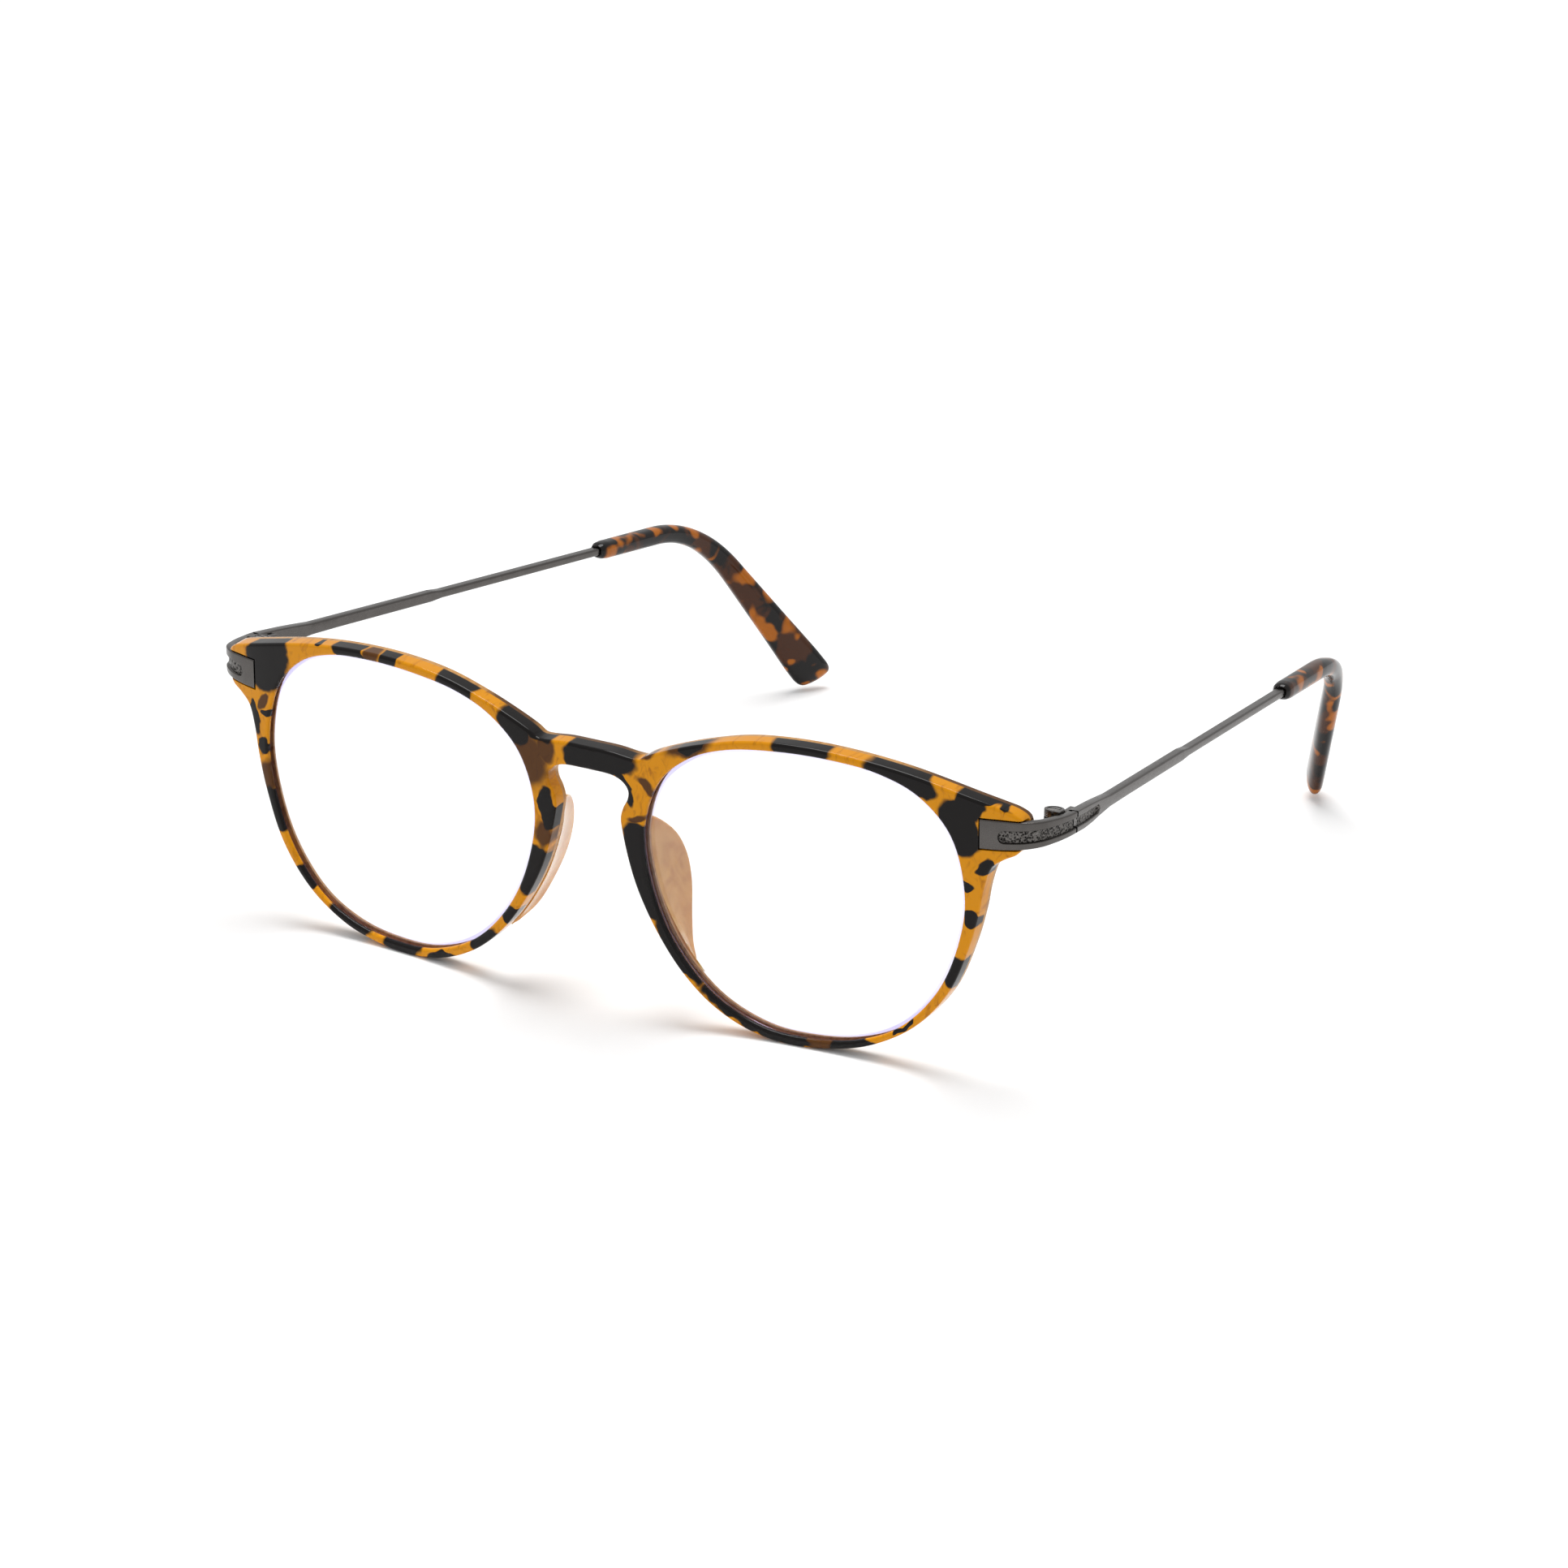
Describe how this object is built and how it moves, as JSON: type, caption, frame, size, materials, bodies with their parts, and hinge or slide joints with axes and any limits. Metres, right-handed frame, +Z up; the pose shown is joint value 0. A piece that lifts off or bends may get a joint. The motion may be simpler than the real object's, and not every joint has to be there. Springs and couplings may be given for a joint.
{
  "type": "reading glasses",
  "caption": "Reading glasses with a round plastic front, keyhole bridge, moulded nose pads, metal endpieces, slim metal temples that fold on screw hinges, and plastic ear tips.",
  "frame": {"origin": "under the middle of the open glasses, on the surface that the lower rims and the ear tips stand on", "axes": "+X towards the wearer's left, +Y back along the temples, +Z up; the front's outer face looks towards -Y"},
  "size_m": [0.138, 0.1494, 0.0461],
  "materials": {
    "tortoise": "polished tortoiseshell plastic, amber with near-black and brown blotches",
    "dark_tortoise": "polished dark tortoiseshell plastic, near black with brown and orange spots",
    "honey_pad": "translucent honey-coloured plastic",
    "clear_lens": "clear, polished, thin anti-reflection coat",
    "gunmetal": "smooth satin gunmetal plating with a hammered sunk band on the endpieces",
    "hinge_steel": "plain machined steel"
  },
  "bodies": {
    "front": {"front_frame": "tortoise", "lens_left": "clear_lens", "lens_right": "clear_lens", "nose_pad_left": "honey_pad", "nose_pad_right": "honey_pad", "endpiece_left": "gunmetal", "endpiece_right": "gunmetal", "endpiece_rivet_upper_left": "hinge_steel", "endpiece_rivet_lower_left": "hinge_steel", "endpiece_rivet_upper_right": "hinge_steel", "endpiece_rivet_lower_right": "hinge_steel", "front_hinge_left": "gunmetal", "front_hinge_right": "gunmetal", "hinge_screw_left": "hinge_steel", "hinge_screw_right": "hinge_steel"},
    "temple_left": {"temple_hinge_left": "gunmetal", "temple_arm_left": "gunmetal", "temple_tip_left": "dark_tortoise"},
    "temple_right": {"temple_hinge_right": "gunmetal", "temple_arm_right": "gunmetal", "temple_tip_right": "dark_tortoise"}
  },
  "joints": [
    {"name": "left_temple_fold", "type": "hinge", "parent": "front", "child": "temple_left", "pos_m": [0.0661, -0.05788, 0.03714], "axis": [-0.0147, 0.062, 0.998], "range_deg": [0, 84]},
    {"name": "right_temple_fold", "type": "hinge", "parent": "front", "child": "temple_right", "pos_m": [-0.0661, -0.05788, 0.03714], "axis": [-0.0147, -0.062, -0.998], "range_deg": [0, 77]}
  ]
}
